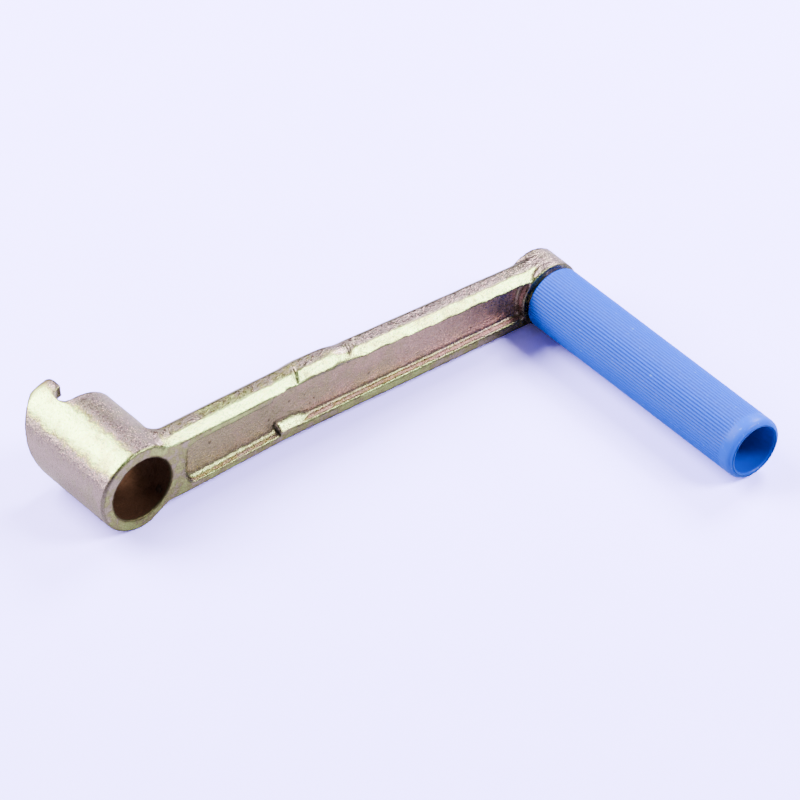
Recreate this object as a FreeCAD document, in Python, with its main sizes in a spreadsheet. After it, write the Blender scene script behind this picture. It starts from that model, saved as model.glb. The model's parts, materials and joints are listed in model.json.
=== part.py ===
# Starting handle of a small single-cylinder engine: a cast steel crank with a two-jaw dog on its hub,
# and a ribbed sleeve that turns on a riveted spindle.
# Frame: the origin is the middle of the hub bore at the hub's front face, +Y goes into the engine,
# +X follows the arm and +Z is up. The handle lies as on a table, on its hub and its eye.
import FreeCAD, Part
import math
import os
import Sketcher

os.makedirs("parts", exist_ok=True)
doc = FreeCAD.newDocument("starting_handle")
V = FreeCAD.Vector
NEAR = 0.01
CLEAR = "2"
ROOT_STEPS = 3
SEAT_END = "20"
SEAM_ASIDE = "30"

# Driving dimensions in millimetres, degrees and counts
DIMENSIONS = {
    "bore_diameter": (28, "hub bore, slides on the engine's starting shaft"),
    "hub_diameter": (39, "outside of the hub"),
    "hub_length": (57.4, "hub's front face to the tops of the jaws"),
    "hub_edge_break": (0.6, "break round the hub's front face"),
    "seat_height": (41.8, "hub's front face to the flat jaw seats"),
    "pin_notch_diameter": (8, "notch under each hook, for the shaft's cross pin"),
    "pin_notch_angle": (95, "direction of the notches, from the arm"),
    "hook_reach_angle": (3.5, "how far each hook reaches over its notch's middle"),
    "ramp_lead": (62, "rise of the jaw ramps in one whole turn"),
    "ramp_top_angle": (123, "where the first ramp reaches the jaw's top, from the arm"),
    "hook_round_share": (0.43, "share of each hook's end face taken by its outer corner's rounding"),
    "hook_under_round": (1.2, "rounding of each hook's underside"),
    "arm_centres": (200, "hub axis to handle axis"),
    "arm_thickness": (13, "front face to back face of the arm"),
    "arm_height_hub": (33.8, "height of the arm where it would meet the hub's axis"),
    "arm_height_eye": (28.2, "height of the arm at the handle's axis"),
    "arm_bevel_depth": (3.5, "bevel on the long corners, down from the top"),
    "arm_bevel_width": (3.9, "bevel on the long corners, in from the face"),
    "bend_distance": (73.5, "hub axis to the bend in the arm"),
    "bend_angle": (3.15, "lean of the outer arm away from the engine"),
    "swell_start": (75, "hub axis to the raised stretch of the arm"),
    "swell_length": (26, "length of the raised stretch"),
    "swell_height": (1.2, "how far the raised stretch stands up"),
    "swell_rise": (8, "length of the gentle slope at the hub's end of the raised stretch"),
    "swell_fall": (2.4, "length of the steep slope at the eye's end of it"),
    "web_recess": (3.2, "depth of the long recesses on each side of the web"),
    "recess_root_round": (2, "fillet along the foot of the recess walls"),
    "recess_draft": (12, "draft of the recess walls"),
    "recess_start": (22, "hub axis to the hub's end of the recesses"),
    "recess_corner": (5, "corner radius at the hub's end of the recesses"),
    "inner_recess_end": (71, "hub axis to the end of the recesses before the bend"),
    "outer_recess_start": (9, "how far the outer recesses begin before the bend"),
    "inner_land_top": (3.0, "flat above the recess, near the hub"),
    "inner_land_bottom": (3.4, "flat below the recess, near the hub"),
    "outer_land_top": (0.4, "flat above the recess, past the bend"),
    "outer_land_bottom": (4.4, "flat below the recess, past the bend"),
    "root_fillet": (5, "fillet where the arm runs into the hub"),
    "eye_diameter": (28.4, "boss that carries the spindle"),
    "eye_proud": (0.2, "how far the boss stands past each face of the arm"),
    "tail_diameter": (12, "spindle tail, riveted through the eye"),
    "rivet_diameter": (19, "upset head behind the eye"),
    "rivet_height": (2.4, "height of the upset head"),
    "collar_diameter": (20, "spindle collar, clamped against the eye"),
    "collar_thickness": (1.5, "thickness of that collar"),
    "spindle_diameter": (16, "shank that the sleeve turns on"),
    "head_diameter": (19.6, "spindle head that keeps the sleeve on"),
    "head_thickness": (5, "thickness of that head"),
    "head_break": (1, "break round that head"),
    "end_play": (0.3, "gap between the sleeve and the collar, and the sleeve and the head"),
    "running_gap": (0.06, "radial gap between the sleeve and the shank"),
    "sleeve_diameter": (26.6, "outside of the sleeve, over the ribs"),
    "sleeve_length": (120, "length of the sleeve"),
    "mouth_diameter": (20.8, "wide bore at the sleeve's free end"),
    "mouth_depth": (24, "depth of the wide bore"),
    "rib_count": (64, "ribs round the sleeve"),
    "groove_depth": (0.4, "depth of the grooves between the ribs"),
    "groove_width": (0.8, "width of the grooves at the surface"),
    "plain_collar": (6, "stretch without ribs at the sleeve's free end"),
    "sleeve_edge_break": (1.8, "break round the sleeve's free end"),
    "mouth_edge_break": (0.6, "break round the sleeve's mouth"),
}

sheet = doc.addObject("Spreadsheet::Sheet", "dims")
size = {}
for row, (alias, (value, meaning)) in enumerate(DIMENSIONS.items(), start=1):
    sheet.set("A%d" % row, meaning)
    sheet.set("B%d" % row, str(value))
    sheet.setAlias("B%d" % row, alias)
    size[alias] = float(value)
doc.recompute()


def bind(thing, bindings):
    """Tie properties of a feature to expressions of the sheet's names."""
    for name, expression in bindings.items():
        thing.setExpression(name, expression)


def new_body(name):
    body = doc.addObject("PartDesign::Body", name)
    body.Label = name
    return body


def origin_feature(body, role):
    return next(item for item in body.Origin.OriginFeatures if item.Role == role)


def sketch_on(body, name, role, along="0", turn_axis=V(0, 0, 1), turn="0", start="0"):
    """A sketch on one of the body's own planes, moved along its normal and turned about its middle."""
    sketch = body.newObject("Sketcher::SketchObject", name)
    sketch.AttachmentSupport = [(origin_feature(body, role), "")]
    sketch.MapMode = "FlatFace"
    sketch.AttachmentOffset = FreeCAD.Placement(V(0, 0, 0), FreeCAD.Rotation(turn_axis, 1))
    bind(sketch, {"AttachmentOffset.Base.x": start, "AttachmentOffset.Base.z": along,
                  "AttachmentOffset.Rotation.Angle": turn})
    doc.recompute()
    return sketch


def number(sketch, expression):
    """What an expression of the sheet's names comes to now."""
    result = sketch.evalExpression(expression)
    return float(getattr(result, "Value", result))


def pin_down(sketch, geometry, point, across, up):
    """Fix a point of a sketch at two expressions."""
    for kind, expression in (("DistanceX", across), ("DistanceY", up)):
        index = sketch.addConstraint(
            Sketcher.Constraint(kind, geometry, point, number(sketch, expression)))
        label = "%s_%d_%d" % (kind, geometry, point)
        sketch.renameConstraint(index, label)
        bind(sketch, {"Constraints." + label: expression})


def circle(sketch, radius, across="0", up="0"):
    """A circle whose radius and middle follow the sheet."""
    middle = V(number(sketch, across), number(sketch, up), 0)
    index = sketch.addGeometry(Part.Circle(middle, V(0, 0, 1), number(sketch, radius)), False)
    pin_down(sketch, index, 3, across, up)
    constraint = sketch.addConstraint(Sketcher.Constraint("Radius", index, number(sketch, radius)))
    label = "radius_%d" % index
    sketch.renameConstraint(constraint, label)
    bind(sketch, {"Constraints." + label: radius})


def outline(sketch, corners, arcs=None):
    """A closed outline through corners given as pairs of expressions.

    arcs maps the number of the corner that an arc starts from to its middle, radius and turning side.
    """
    arcs = arcs or {}
    places = [V(number(sketch, across), number(sketch, up), 0) for across, up in corners]
    count = len(corners)
    ends = []
    for i in range(count):
        start, end = places[i], places[(i + 1) % count]
        if i not in arcs:
            line = sketch.addGeometry(Part.LineSegment(start, end), False)
            ends.append((line, 1, 2))
            continue
        across, up, radius, clockwise = arcs[i]
        middle = V(number(sketch, across), number(sketch, up), 0)
        if clockwise:
            start, end = end, start
        swept = [math.atan2(p.y - middle.y, p.x - middle.x) for p in (start, end)]
        ring = Part.Circle(middle, V(0, 0, 1), number(sketch, radius))
        arc = sketch.addGeometry(Part.ArcOfCircle(ring, swept[0], swept[1]), False)
        ends.append((arc, 2, 1) if clockwise else (arc, 1, 2))
        constraint = sketch.addConstraint(Sketcher.Constraint("Radius", arc, number(sketch, radius)))
        label = "radius_%d" % arc
        sketch.renameConstraint(constraint, label)
        bind(sketch, {"Constraints." + label: radius})
    for i in range(count):
        edge, start, end = ends[i]
        following, its_start, _ = ends[(i + 1) % count]
        sketch.addConstraint(Sketcher.Constraint("Coincident", edge, end, following, its_start))
        pin_down(sketch, edge, start, *corners[i])


def feature(body, kind, name, profile=None, **properties):
    """Add a PartDesign feature to a body; strings are expressions, anything else is set as it is."""
    made = body.newObject("PartDesign::" + kind, name)
    if profile is not None:
        made.Profile = profile
    for key, setting in properties.items():
        if isinstance(setting, str) and key not in ("Type", "SideType", "Mode"):
            bind(made, {key: setting})
        else:
            setattr(made, key, setting)
    doc.recompute()
    return made


def cut(body, kind, name, profile, **properties):
    """A feature that has to take material away."""
    before = body.Shape.Volume
    made = feature(body, kind, name, profile, **properties)
    if not made.Shape.Volume < before - 1e-3:
        raise RuntimeError(name + " cuts nothing")
    return made


def edges(shape, wanted):
    """Names of the edges of a shape that a test picks out."""
    names = ["Edge%d" % (i + 1) for i, edge in enumerate(shape.Edges) if wanted(edge)]
    if not names:
        raise RuntimeError("no edge fits")
    return names


def middle_of(edge):
    first, last = edge.ParameterRange
    return edge.valueAt((first + last) / 2)


# Arm section and the lines along it, as expressions of the distance x from the hub's axis
def half_height(x):
    return ("(dims.arm_height_hub + (dims.arm_height_eye - dims.arm_height_hub)"
            " * (%s) / dims.arm_centres) / 2" % x)


def arm_front(x, bent):
    return "-tan(dims.bend_angle * 1 deg) * ((%s) - dims.bend_distance)" % x if bent else "0"


def arm_section(body, name, x, bent=False, raised=False, flare="0"):
    """Bevelled section of the arm at distance x from the hub's axis, in the plane across the arm."""
    sketch = sketch_on(body, name, "YZ_Plane", along=x)
    front = arm_front(x, bent)
    back = "%s + dims.arm_thickness + %s" % (front, flare)
    lift = "dims.swell_height" if raised else "0"
    top = "%s + %s" % (half_height(x), lift)
    bottom = "-(%s)" % half_height(x)
    shoulder_top = top + " - dims.arm_bevel_depth"
    shoulder_bottom = bottom + " + dims.arm_bevel_depth"
    inner_front = front + " + dims.arm_bevel_width"
    inner_back = back + " - dims.arm_bevel_width"
    outline(sketch, [(front, shoulder_bottom), (front, shoulder_top), (inner_front, top),
                     (inner_back, top), (back, shoulder_top), (back, shoulder_bottom),
                     (inner_back, bottom), (inner_front, bottom)])
    return sketch


def recess_cutter(name, outer, behind):
    """The solid that one recess takes out of the arm, tapered and rounded along its foot."""
    body = new_body(name)
    over = "dims.arm_bevel_width / 2"
    flare = "(%s) * tan(dims.recess_draft * 1 deg)" % over
    face = "(dims.arm_thickness + %s)" % over if behind else "-(%s)" % over
    if outer:
        sketch = sketch_on(body, name + "_outline", "XZ_Plane", along="-(%s)" % face,
                           turn_axis=V(0, -1, 0), turn="dims.bend_angle", start="dims.bend_distance")
        origin, first = "dims.bend_distance", "-dims.outer_recess_start"
        last = "dims.arm_centres - dims.bend_distance"
        land_top, land_bottom = "dims.outer_land_top", "dims.outer_land_bottom"
    else:
        sketch = sketch_on(body, name + "_outline", "XZ_Plane", along="-(%s)" % face)
        origin, first, last = "0", "dims.recess_start", "dims.inner_recess_end"
        land_top, land_bottom = "dims.inner_land_top", "dims.inner_land_bottom"

    def edge_height(x, land):
        return "%s - dims.arm_bevel_depth - %s + %s" % (half_height("%s + %s" % (origin, x)), land, flare)

    left, right = "%s - %s" % (first, flare), "%s + %s" % (last, flare)
    outline(sketch, [(left, "-(%s)" % edge_height(first, land_bottom)),
                     (right, "-(%s)" % edge_height(last, land_bottom)),
                     (right, edge_height(last, land_top)), (left, edge_height(first, land_top))])
    block = feature(body, "Pad", name + "_block", sketch, Length="dims.web_recess + %s" % over,
                    TaperAngle="-dims.recess_draft", Reversed=not behind)
    if not outer:
        upright = edges(block.Shape, lambda edge: edge.tangentAt(edge.FirstParameter).y ** 2 > 0.5)
        block = feature(body, "Fillet", name + "_corners", Base=(block, upright),
                        Radius="dims.recess_corner")
    foot_y = size["arm_thickness"] - size["web_recess"] if behind else size["web_recess"]
    face_at = max(block.Shape.Faces, key=lambda f: f.CenterOfMass.y * (-1 if behind else 1))
    foot = [i for i, edge in enumerate(block.Shape.Edges)
            if any(edge.isSame(other) for other in face_at.Edges)]
    feature(body, "Fillet", name + "_foot", Base=(block, ["Edge%d" % (i + 1) for i in foot]),
            Radius="dims.recess_root_round")
    return body


def crank_arm():
    """Hub with its dog, bevelled I-section arm and eye, in the arm's own level frame."""
    body = new_body("crank_arm")
    hub_radius = "(dims.hub_diameter / 2)"
    root_end = ("(sqrt(%s ^ 2 - ((%s) - dims.arm_bevel_depth / 2) ^ 2) + dims.root_fillet)"
                % (hub_radius, half_height("0")))
    sections = [arm_section(body, "section_hub", "0", flare="dims.root_fillet")]
    for step in range(ROOT_STEPS, -1, -1):
        angle = "%d deg" % (90 * step // ROOT_STEPS)
        sections.append(arm_section(body, "section_root_%d" % step,
                                    "%s - dims.root_fillet * sin(%s)" % (root_end, angle),
                                    flare="dims.root_fillet * (1 - cos(%s))" % angle))
    swell_end = "(dims.swell_start + dims.swell_length)"
    sections += [arm_section(body, "section_bend", "dims.bend_distance"),
                 arm_section(body, "section_swell_foot", "dims.swell_start", bent=True),
                 arm_section(body, "section_swell_top", "dims.swell_start + dims.swell_rise",
                             bent=True, raised=True),
                 arm_section(body, "section_swell_end", swell_end + " - dims.swell_fall",
                             bent=True, raised=True),
                 arm_section(body, "section_swell_out", swell_end, bent=True),
                 arm_section(body, "section_eye", "dims.arm_centres", bent=True)]
    feature(body, "AdditiveLoft", "arm_bar", sections[0], Sections=sections[1:], Ruled=True)
    cutters = [recess_cutter("recess_%s_%s" % (place, side), place == "outer", side == "back")
               for place in ("inner", "outer") for side in ("front", "back")]
    web = body.newObject("PartDesign::Boolean", "web_recesses")
    web.Type = "Cut"
    web.Group = cutters
    doc.recompute()
    eye = sketch_on(body, "eye_outline", "XZ_Plane", along="-%s" % EYE_FRONT)
    circle(eye, "dims.eye_diameter / 2", across="dims.arm_centres")
    feature(body, "Pad", "eye_boss", eye, Length="dims.arm_thickness + 2 * dims.eye_proud",
            Reversed=True)
    outside = "dims.hub_diameter / 2"
    seam = "(dims.pin_notch_angle - %s)" % SEAM_ASIDE
    profile = sketch_on(body, "hub_profile", "XY_Plane", turn_axis=V(0, -1, 0), turn=seam + " * 1 deg")
    outline(profile, [("0", "0"), ("0", "dims.hub_length"),
                      ("-" + outside, "dims.hub_length"), ("-" + outside, "dims.hub_edge_break"),
                      ("-(%s - dims.hub_edge_break)" % outside, "0")])
    feature(body, "Revolution", "hub_barrel", profile,
            ReferenceAxis=(origin_feature(body, "Y_Axis"), [""]), Angle=360.0)

    bore = sketch_on(body, "bore_profile", "XY_Plane", turn_axis=V(0, -1, 0), turn=seam + " * 1 deg")
    wall = "dims.bore_diameter / 2"
    outline(bore, [("0", "-%s" % CLEAR), ("0", "dims.hub_length + %s" % CLEAR),
                   ("-" + wall, "dims.hub_length + %s" % CLEAR), ("-" + wall, "-%s" % CLEAR)])
    cut(body, "Groove", "bore", bore, ReferenceAxis=(origin_feature(body, "Y_Axis"), [""]), Angle=360.0)

    ramp_foot = "(dims.ramp_top_angle + (dims.hub_length - dims.seat_height) / dims.ramp_lead * 360)"
    ramp = sketch_on(body, "ramp_profile", "YZ_Plane", turn_axis=V(-1, 0, 0),
                     turn="(%s - 90) * 1 deg" % ramp_foot)
    inside = "(%s - %s)" % (wall, CLEAR)
    outside = "(dims.hub_diameter / 2 + %s)" % CLEAR
    above = "dims.hub_length + %s" % CLEAR
    outline(ramp, [("dims.seat_height", inside), ("dims.seat_height", outside),
                   (above, outside), (above, inside)])
    ramp = cut(body, "SubtractiveHelix", "jaw_ramp", ramp,
               ReferenceAxis=(origin_feature(body, "Y_Axis"), [""]), Mode=0, Pitch="dims.ramp_lead",
               Height="dims.hub_length - dims.seat_height + 1")

    seat = sketch_on(body, "seat_outline", "XZ_Plane", along="-dims.seat_height")
    rim = "dims.hub_diameter"
    sides = ["(%s - 180) * 1 deg" % ramp_foot, "(dims.pin_notch_angle - %s) * 1 deg" % SEAT_END]
    outline(seat, [("0", "0")] + [("%s * cos(%s)" % (rim, side), "%s * sin(%s)" % (rim, side))
                                  for side in sides])
    seat = cut(body, "Pocket", "jaw_seat", seat, Type="ThroughAll")

    hook = sketch_on(body, "hook_outline", "YZ_Plane", turn_axis=V(-1, 0, 0),
                     turn="dims.pin_notch_angle * 1 deg")
    notch, under = "dims.pin_notch_diameter / 2", "dims.hook_under_round"
    tip = "(-dims.hub_diameter / 2 * sin(dims.hook_reach_angle * 1 deg))"
    notch_middle = "(dims.seat_height + %s)" % notch
    joined = "(%s + %s)" % (notch, under)
    aside = "(%s + %s)" % (tip, under)
    rise = "sqrt(%s ^ 2 - %s ^ 2)" % (joined, aside)
    share = "(%s) / %s" % (notch, joined)
    top = "(dims.hook_round_share * (dims.hub_length - %s - %s))" % (notch_middle, rise)
    free_side = "-dims.pin_notch_diameter * 1.5"
    outline(hook,
            [("dims.seat_height", free_side), ("dims.seat_height", "0"),
             ("%s + %s * %s" % (notch_middle, rise, share), "%s * %s" % (aside, share)),
             ("%s + %s" % (notch_middle, rise), tip),
             ("dims.hub_length - %s" % top, tip), ("dims.hub_length", "%s + %s" % (tip, top)),
             (above, "%s + %s" % (tip, top)), (above, free_side)],
            arcs={1: (notch_middle, "0", notch, True),
                  2: ("%s + %s" % (notch_middle, rise), aside, under, False),
                  4: ("dims.hub_length - %s" % top, "%s + %s" % (tip, top), top, False)})
    hook = cut(body, "Pocket", "jaw_hook", hook, Type="ThroughAll", Reversed=True)

    jaws = feature(body, "PolarPattern", "jaws", None, Originals=[ramp, seat, hook],
                   Axis=(origin_feature(body, "Y_Axis"), [""]), Angle=360.0, Occurrences=2)
    body.Tip = jaws
    doc.recompute()
    hole = sketch_on(body, "tail_hole_outline", "XZ_Plane")
    circle(hole, "dims.tail_diameter / 2", across="dims.arm_centres")
    cut(body, "Pocket", "tail_hole", hole, Type="ThroughAll", Midplane=True)
    return body


# Lengths along the handle's axis, measured from the plane of the hub's front face
EYE_FRONT = "(%s - dims.eye_proud)" % arm_front("dims.arm_centres", True)
EYE_BACK = "(%s + dims.arm_thickness + 2 * dims.eye_proud)" % EYE_FRONT
COLLAR_FRONT = "(%s - dims.collar_thickness)" % EYE_FRONT
SLEEVE_ROOT = "(%s - dims.end_play)" % COLLAR_FRONT
SLEEVE_END = "(%s - dims.sleeve_length)" % SLEEVE_ROOT
SHOULDER = "(%s + dims.mouth_depth)" % SLEEVE_END
HEAD_BACK = "(%s - dims.end_play)" % SHOULDER


def handle_spindle():
    """Rod that carries the sleeve: upset head behind the eye, tail, collar, shank and front head."""
    body = new_body("handle_spindle")
    profile = sketch_on(body, "spindle_profile", "XY_Plane")
    rivet, rise = "(dims.rivet_diameter / 2)", "dims.rivet_height"
    dome = "((%s ^ 2 + %s ^ 2) / (2 * %s))" % (rivet, rise, rise)
    crown = "%s + %s" % (EYE_BACK, rise)
    tail, collar = "dims.tail_diameter / 2", "dims.collar_diameter / 2"
    shank, head = "dims.spindle_diameter / 2", "dims.head_diameter / 2"
    head_front = "%s - dims.head_thickness" % HEAD_BACK
    outline(profile,
            [("0", crown), (rivet, EYE_BACK), (tail, EYE_BACK), (tail, EYE_FRONT),
             (collar, EYE_FRONT), (collar, COLLAR_FRONT), (shank, COLLAR_FRONT), (shank, HEAD_BACK),
             (head, HEAD_BACK), (head, head_front + " + dims.head_break"),
             (head + " - dims.head_break", head_front), ("0", head_front)],
            arcs={0: ("0", "%s - %s" % (crown, dome), dome, True)})
    feature(body, "Revolution", "spindle", profile,
            ReferenceAxis=(origin_feature(body, "Y_Axis"), [""]), Angle=360.0)
    return body


def grip_sleeve():
    """Moulded sleeve: running bore, wide mouth over the spindle's head, and ribs along its outside."""
    body = new_body("grip_sleeve")
    profile = sketch_on(body, "sleeve_profile", "XY_Plane")
    bore = "dims.spindle_diameter / 2 + dims.running_gap"
    mouth, outside = "dims.mouth_diameter / 2", "dims.sleeve_diameter / 2"
    outline(profile, [(bore, SLEEVE_ROOT), (outside, SLEEVE_ROOT), (outside, SLEEVE_END),
                      (mouth, SLEEVE_END), (mouth, SHOULDER), (bore, SHOULDER)])
    tube = feature(body, "Revolution", "sleeve_tube", profile,
                   ReferenceAxis=(origin_feature(body, "Y_Axis"), [""]), Angle=360.0)
    end_at = number(profile, SLEEVE_END)

    def rim_at(radius):
        return edges(body.Shape, lambda e: abs(middle_of(e).y - end_at) < NEAR
                     and abs(math.hypot(middle_of(e).x, middle_of(e).z) - radius) < NEAR)

    outer = feature(body, "Chamfer", "sleeve_end_break",
                    Base=(tube, rim_at(size["sleeve_diameter"] / 2)), Size="dims.sleeve_edge_break")
    feature(body, "Chamfer", "mouth_break",
            Base=(outer, rim_at(size["mouth_diameter"] / 2)), Size="dims.mouth_edge_break")
    groove = sketch_on(body, "groove_outline", "XZ_Plane", along="-%s" % SLEEVE_ROOT)
    half, over = "dims.groove_width / 2", "(%s + dims.groove_depth)" % outside
    outline(groove, [("-" + half, over), ("-" + half, outside), ("0", outside + " - dims.groove_depth"),
                     (half, outside), (half, over)])
    groove = cut(body, "Pocket", "groove", groove, Length="dims.sleeve_length - dims.plain_collar",
                 Reversed=True)
    ribs = feature(body, "PolarPattern", "ribs", None, Originals=[groove], Angle=360.0,
                   Axis=(origin_feature(body, "Y_Axis"), [""]), Occurrences="dims.rib_count")
    body.Tip = ribs
    doc.recompute()
    return body


crank = crank_arm()
spindle = handle_spindle()
sleeve = grip_sleeve()

# The crank rests on its hub and its smaller eye, so its arm dips a little towards the eye
DIP = "asin((dims.hub_diameter - dims.eye_diameter) / 2 / dims.arm_centres)"
for piece in (crank, spindle, sleeve):
    piece.Placement = FreeCAD.Placement(V(0, 0, 0), FreeCAD.Rotation(V(0, 1, 0), 1))
    bind(piece, {"Placement.Rotation.Angle": DIP})
for piece in (spindle, sleeve):
    bind(piece, {"Placement.Base.x": "dims.arm_centres * cos(%s)" % DIP,
                 "Placement.Base.z": "-dims.arm_centres * sin(%s)" % DIP})
doc.recompute()

for item in doc.Objects:
    if "Invalid" in item.State or "Error" in item.State:
        raise RuntimeError("%s failed: %s" % (item.Name, item.State))
for piece in (crank, spindle, sleeve):
    shape = piece.Shape
    if shape.isNull() or not shape.isValid() or len(shape.Solids) != 1:
        raise RuntimeError(piece.Label + " is not one sound solid")
for piece in (crank, spindle, sleeve):
    piece.Shape.exportStep("parts/%s.step" % piece.Label)
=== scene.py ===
"""A starting handle on a studio table: cast crank, riveted spindle and ribbed plastic grip.

The crank is a steel casting, zinc plated and passivated in yellow chromate. The grip is a blue
moulding that spins on the spindle. Lengths are in metres unless a name ends in _mm.
"""
import json
import math

import bmesh
import bpy
import numpy as np
from bpy.props import FloatProperty, FloatVectorProperty, IntProperty, PointerProperty
from mathutils import Matrix, Vector, noise


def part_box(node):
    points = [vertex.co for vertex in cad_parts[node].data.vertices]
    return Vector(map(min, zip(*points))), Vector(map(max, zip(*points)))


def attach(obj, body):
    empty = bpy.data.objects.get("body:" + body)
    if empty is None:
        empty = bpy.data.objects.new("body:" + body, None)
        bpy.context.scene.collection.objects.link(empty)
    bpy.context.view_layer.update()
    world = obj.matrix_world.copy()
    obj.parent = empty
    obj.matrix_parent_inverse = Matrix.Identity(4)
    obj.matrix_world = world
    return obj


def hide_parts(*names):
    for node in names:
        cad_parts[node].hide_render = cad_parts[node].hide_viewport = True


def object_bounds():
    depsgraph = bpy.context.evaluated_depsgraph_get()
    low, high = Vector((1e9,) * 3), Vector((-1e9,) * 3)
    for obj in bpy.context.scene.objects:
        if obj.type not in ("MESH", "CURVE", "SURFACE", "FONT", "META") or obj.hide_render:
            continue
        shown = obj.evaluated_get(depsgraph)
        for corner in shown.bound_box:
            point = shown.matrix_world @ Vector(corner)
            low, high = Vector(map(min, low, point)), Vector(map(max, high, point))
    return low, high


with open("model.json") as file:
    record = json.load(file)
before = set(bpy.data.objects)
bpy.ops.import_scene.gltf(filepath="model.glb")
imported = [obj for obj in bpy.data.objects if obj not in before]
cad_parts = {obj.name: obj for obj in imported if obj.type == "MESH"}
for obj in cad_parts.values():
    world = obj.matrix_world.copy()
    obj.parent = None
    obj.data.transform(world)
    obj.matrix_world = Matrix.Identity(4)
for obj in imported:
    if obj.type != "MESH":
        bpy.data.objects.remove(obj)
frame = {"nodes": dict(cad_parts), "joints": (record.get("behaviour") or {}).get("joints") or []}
CAD_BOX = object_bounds()

bl_info = {
    "name": "Starting handle",
    "version": (1, 0, 0),
    "blender": (4, 2, 0),
    "location": "3D View > Sidebar > Starting handle",
    "description": "Builds a cast starting handle with a spinning grip on a studio table",
    "category": "Object",
}

MM = 0.001
DEG = math.pi / 180
JOINT = frame["joints"][0]
AXIS = Vector(JOINT["pos_m"])
CRANK_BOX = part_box("crank_arm")
GRIP_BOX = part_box("grip_sleeve")
SPINDLE_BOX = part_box("handle_spindle")
FLOOR_Z = CAD_BOX[0][2]
HUB_RADIUS = -CRANK_BOX[0][0]
HOOK_TIP = CRANK_BOX[1][1]
EYE_RADIUS = CRANK_BOX[1][0] - AXIS.x
DIP = math.atan2(-AXIS.z, AXIS.x)
# Points of the hub nearer to its axis than this belong to the bore
BORE_EDGE = HUB_RADIUS * 0.76
# From the origin to the hinge's place, so 11.5 mm more than the arm's length: the rounding at the
# eye's root lies that much too far out
HINGE_REACH = AXIS.length
# The arm bends forward here, by this much
BEND_START_MM = 73.5
BEND = 3.15 * DEG


def linear(hex_code):
    """An sRGB hex colour as the linear RGBA that shaders work in."""
    channels = [int(hex_code[i:i + 2], 16) / 255 for i in (0, 2, 4)]
    return [c / 12.92 if c <= 0.04045 else ((c + 0.055) / 1.055) ** 2.4 for c in channels] + [1.0]


def add_node(tree, kind, inputs=None, **settings):
    """Add a node, set its own settings, and give each named input a value or a link."""
    made = tree.nodes.new(kind)
    for name, value in settings.items():
        setattr(made, name, value)
    for key, value in (inputs or {}).items():
        socket = made.inputs[key]
        if isinstance(value, bpy.types.NodeSocket):
            tree.links.new(value, socket)
        else:
            socket.default_value = value
    return made


def smooth_step(low, high, value):
    """0 below low, 1 above high, and an even ease between, for numbers or arrays."""
    t = np.clip((value - low) / (high - low), 0, 1)
    return t * t * (3 - 2 * t)


def new_material(name):
    """An empty node material and its tree, with the shader joined to the output."""
    material = bpy.data.materials.new(name)
    material.use_nodes = True
    tree = material.node_tree
    tree.nodes.clear()
    shader = add_node(tree, "ShaderNodeBsdfPrincipled")
    add_node(tree, "ShaderNodeOutputMaterial", {"Surface": shader.outputs[0]})
    return material, tree, shader


def mixed(tree, factor, first, second, blend="MIX"):
    """Blend two colours by a factor; each may be a socket or a hex code."""
    node = add_node(tree, "ShaderNodeMix", {0: factor}, data_type="RGBA", blend_type=blend)
    for slot, colour in ((6, first), (7, second)):
        if isinstance(colour, str):
            node.inputs[slot].default_value = linear(colour)
        else:
            tree.links.new(colour, node.inputs[slot])
    return node.outputs[2]


def stepped(tree, value, low, high, out_low=0.0, out_high=1.0):
    """A value eased from one range into another."""
    return add_node(tree, "ShaderNodeMapRange",
                    {"Value": value, "From Min": low, "From Max": high,
                     "To Min": out_low, "To Max": out_high},
                    interpolation_type="SMOOTHSTEP").outputs[0]


def grain(tree, size_mm, detail=2.0, roughness=0.5, offset=(0.0, 0.0, 0.0)):
    """Noise on object coordinates with features of about a real size in millimetres."""
    place = add_node(tree, "ShaderNodeTexCoord").outputs["Object"]
    moved = add_node(tree, "ShaderNodeMapping", {"Vector": place, "Location": offset}).outputs[0]
    return add_node(tree, "ShaderNodeTexNoise",
                    {"Vector": moved, "Scale": 1 / (size_mm * MM), "Detail": detail,
                     "Roughness": roughness}).outputs[0]


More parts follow.
